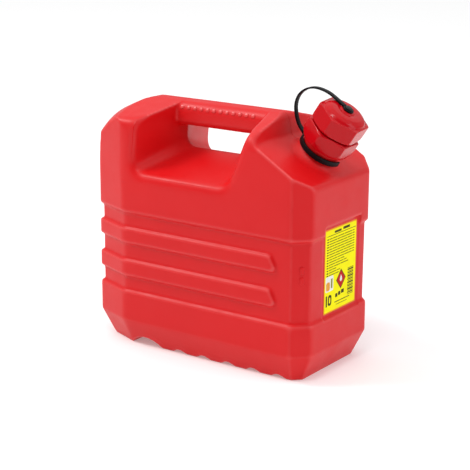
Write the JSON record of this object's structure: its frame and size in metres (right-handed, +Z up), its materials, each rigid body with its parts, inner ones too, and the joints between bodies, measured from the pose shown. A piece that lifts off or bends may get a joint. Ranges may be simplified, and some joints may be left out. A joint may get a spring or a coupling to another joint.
{
  "type": "fuel can",
  "caption": "Blow-moulded plastic fuel can with a moulded carrying handle, a leaning threaded neck, a hex union nut and cap, a stored pour spout and a cap strap.",
  "frame": {"origin": "bottom centre of the tank, on the plane its feet stand on", "axes": "+X along the length towards the neck, Y across the width, +Z up"},
  "size_m": [0.3354, 0.1594, 0.3327],
  "materials": {
    "tank_plastic": "fine-grained matt moulding with soft edges",
    "closure_plastic": "high gloss",
    "spout_plastic": "smooth dark red",
    "strap_plastic": "flexible black plastic with a soft sheen",
    "rivet_plastic": "smooth black",
    "seal_rubber": "matt",
    "label_film": "printed self-adhesive film, slight sheen"
  },
  "bodies": {
    "can": {"tank_lower": "tank_plastic", "tank_upper": "tank_plastic", "tank_neck": "tank_plastic", "label": "label_film", "neck_gasket": "seal_rubber"},
    "closure": {"pour_spout": "spout_plastic", "cap_strap": "strap_plastic"},
    "collar": {"collar_nut": "closure_plastic"},
    "cap_carrier": {"strap_rivet": "rivet_plastic"},
    "cap": {"cap": "closure_plastic", "cap_gasket": "seal_rubber"}
  },
  "joints": [
    {"name": "closure_lift", "type": "slide", "parent": "can", "child": "closure", "axis": [0.5592, 0, 0.829], "range_m": [0, 0.01201]},
    {"name": "collar_turn", "type": "hinge", "parent": "closure", "child": "collar", "pos_m": [0.1206, 0, 0.25109], "axis": [0.5592, 0, 0.829], "range_deg": [0, 1080]},
    {"name": "cap_lift", "type": "slide", "parent": "closure", "child": "cap_carrier", "axis": [0.5592, 0, 0.829], "range_m": [0, 0.01001], "deforming": ["cap_strap"]},
    {"name": "cap_turn", "type": "hinge", "parent": "cap_carrier", "child": "cap", "pos_m": [0.1206, 0, 0.25109], "axis": [0.5592, 0, 0.829], "range_deg": [0, 900]}
  ],
  "couplings": [
    {"joint": "closure_lift", "follows": "collar_turn", "m_per_rad": 0.00063662},
    {"joint": "cap_lift", "follows": "cap_turn", "m_per_rad": 0.00063662}
  ]
}
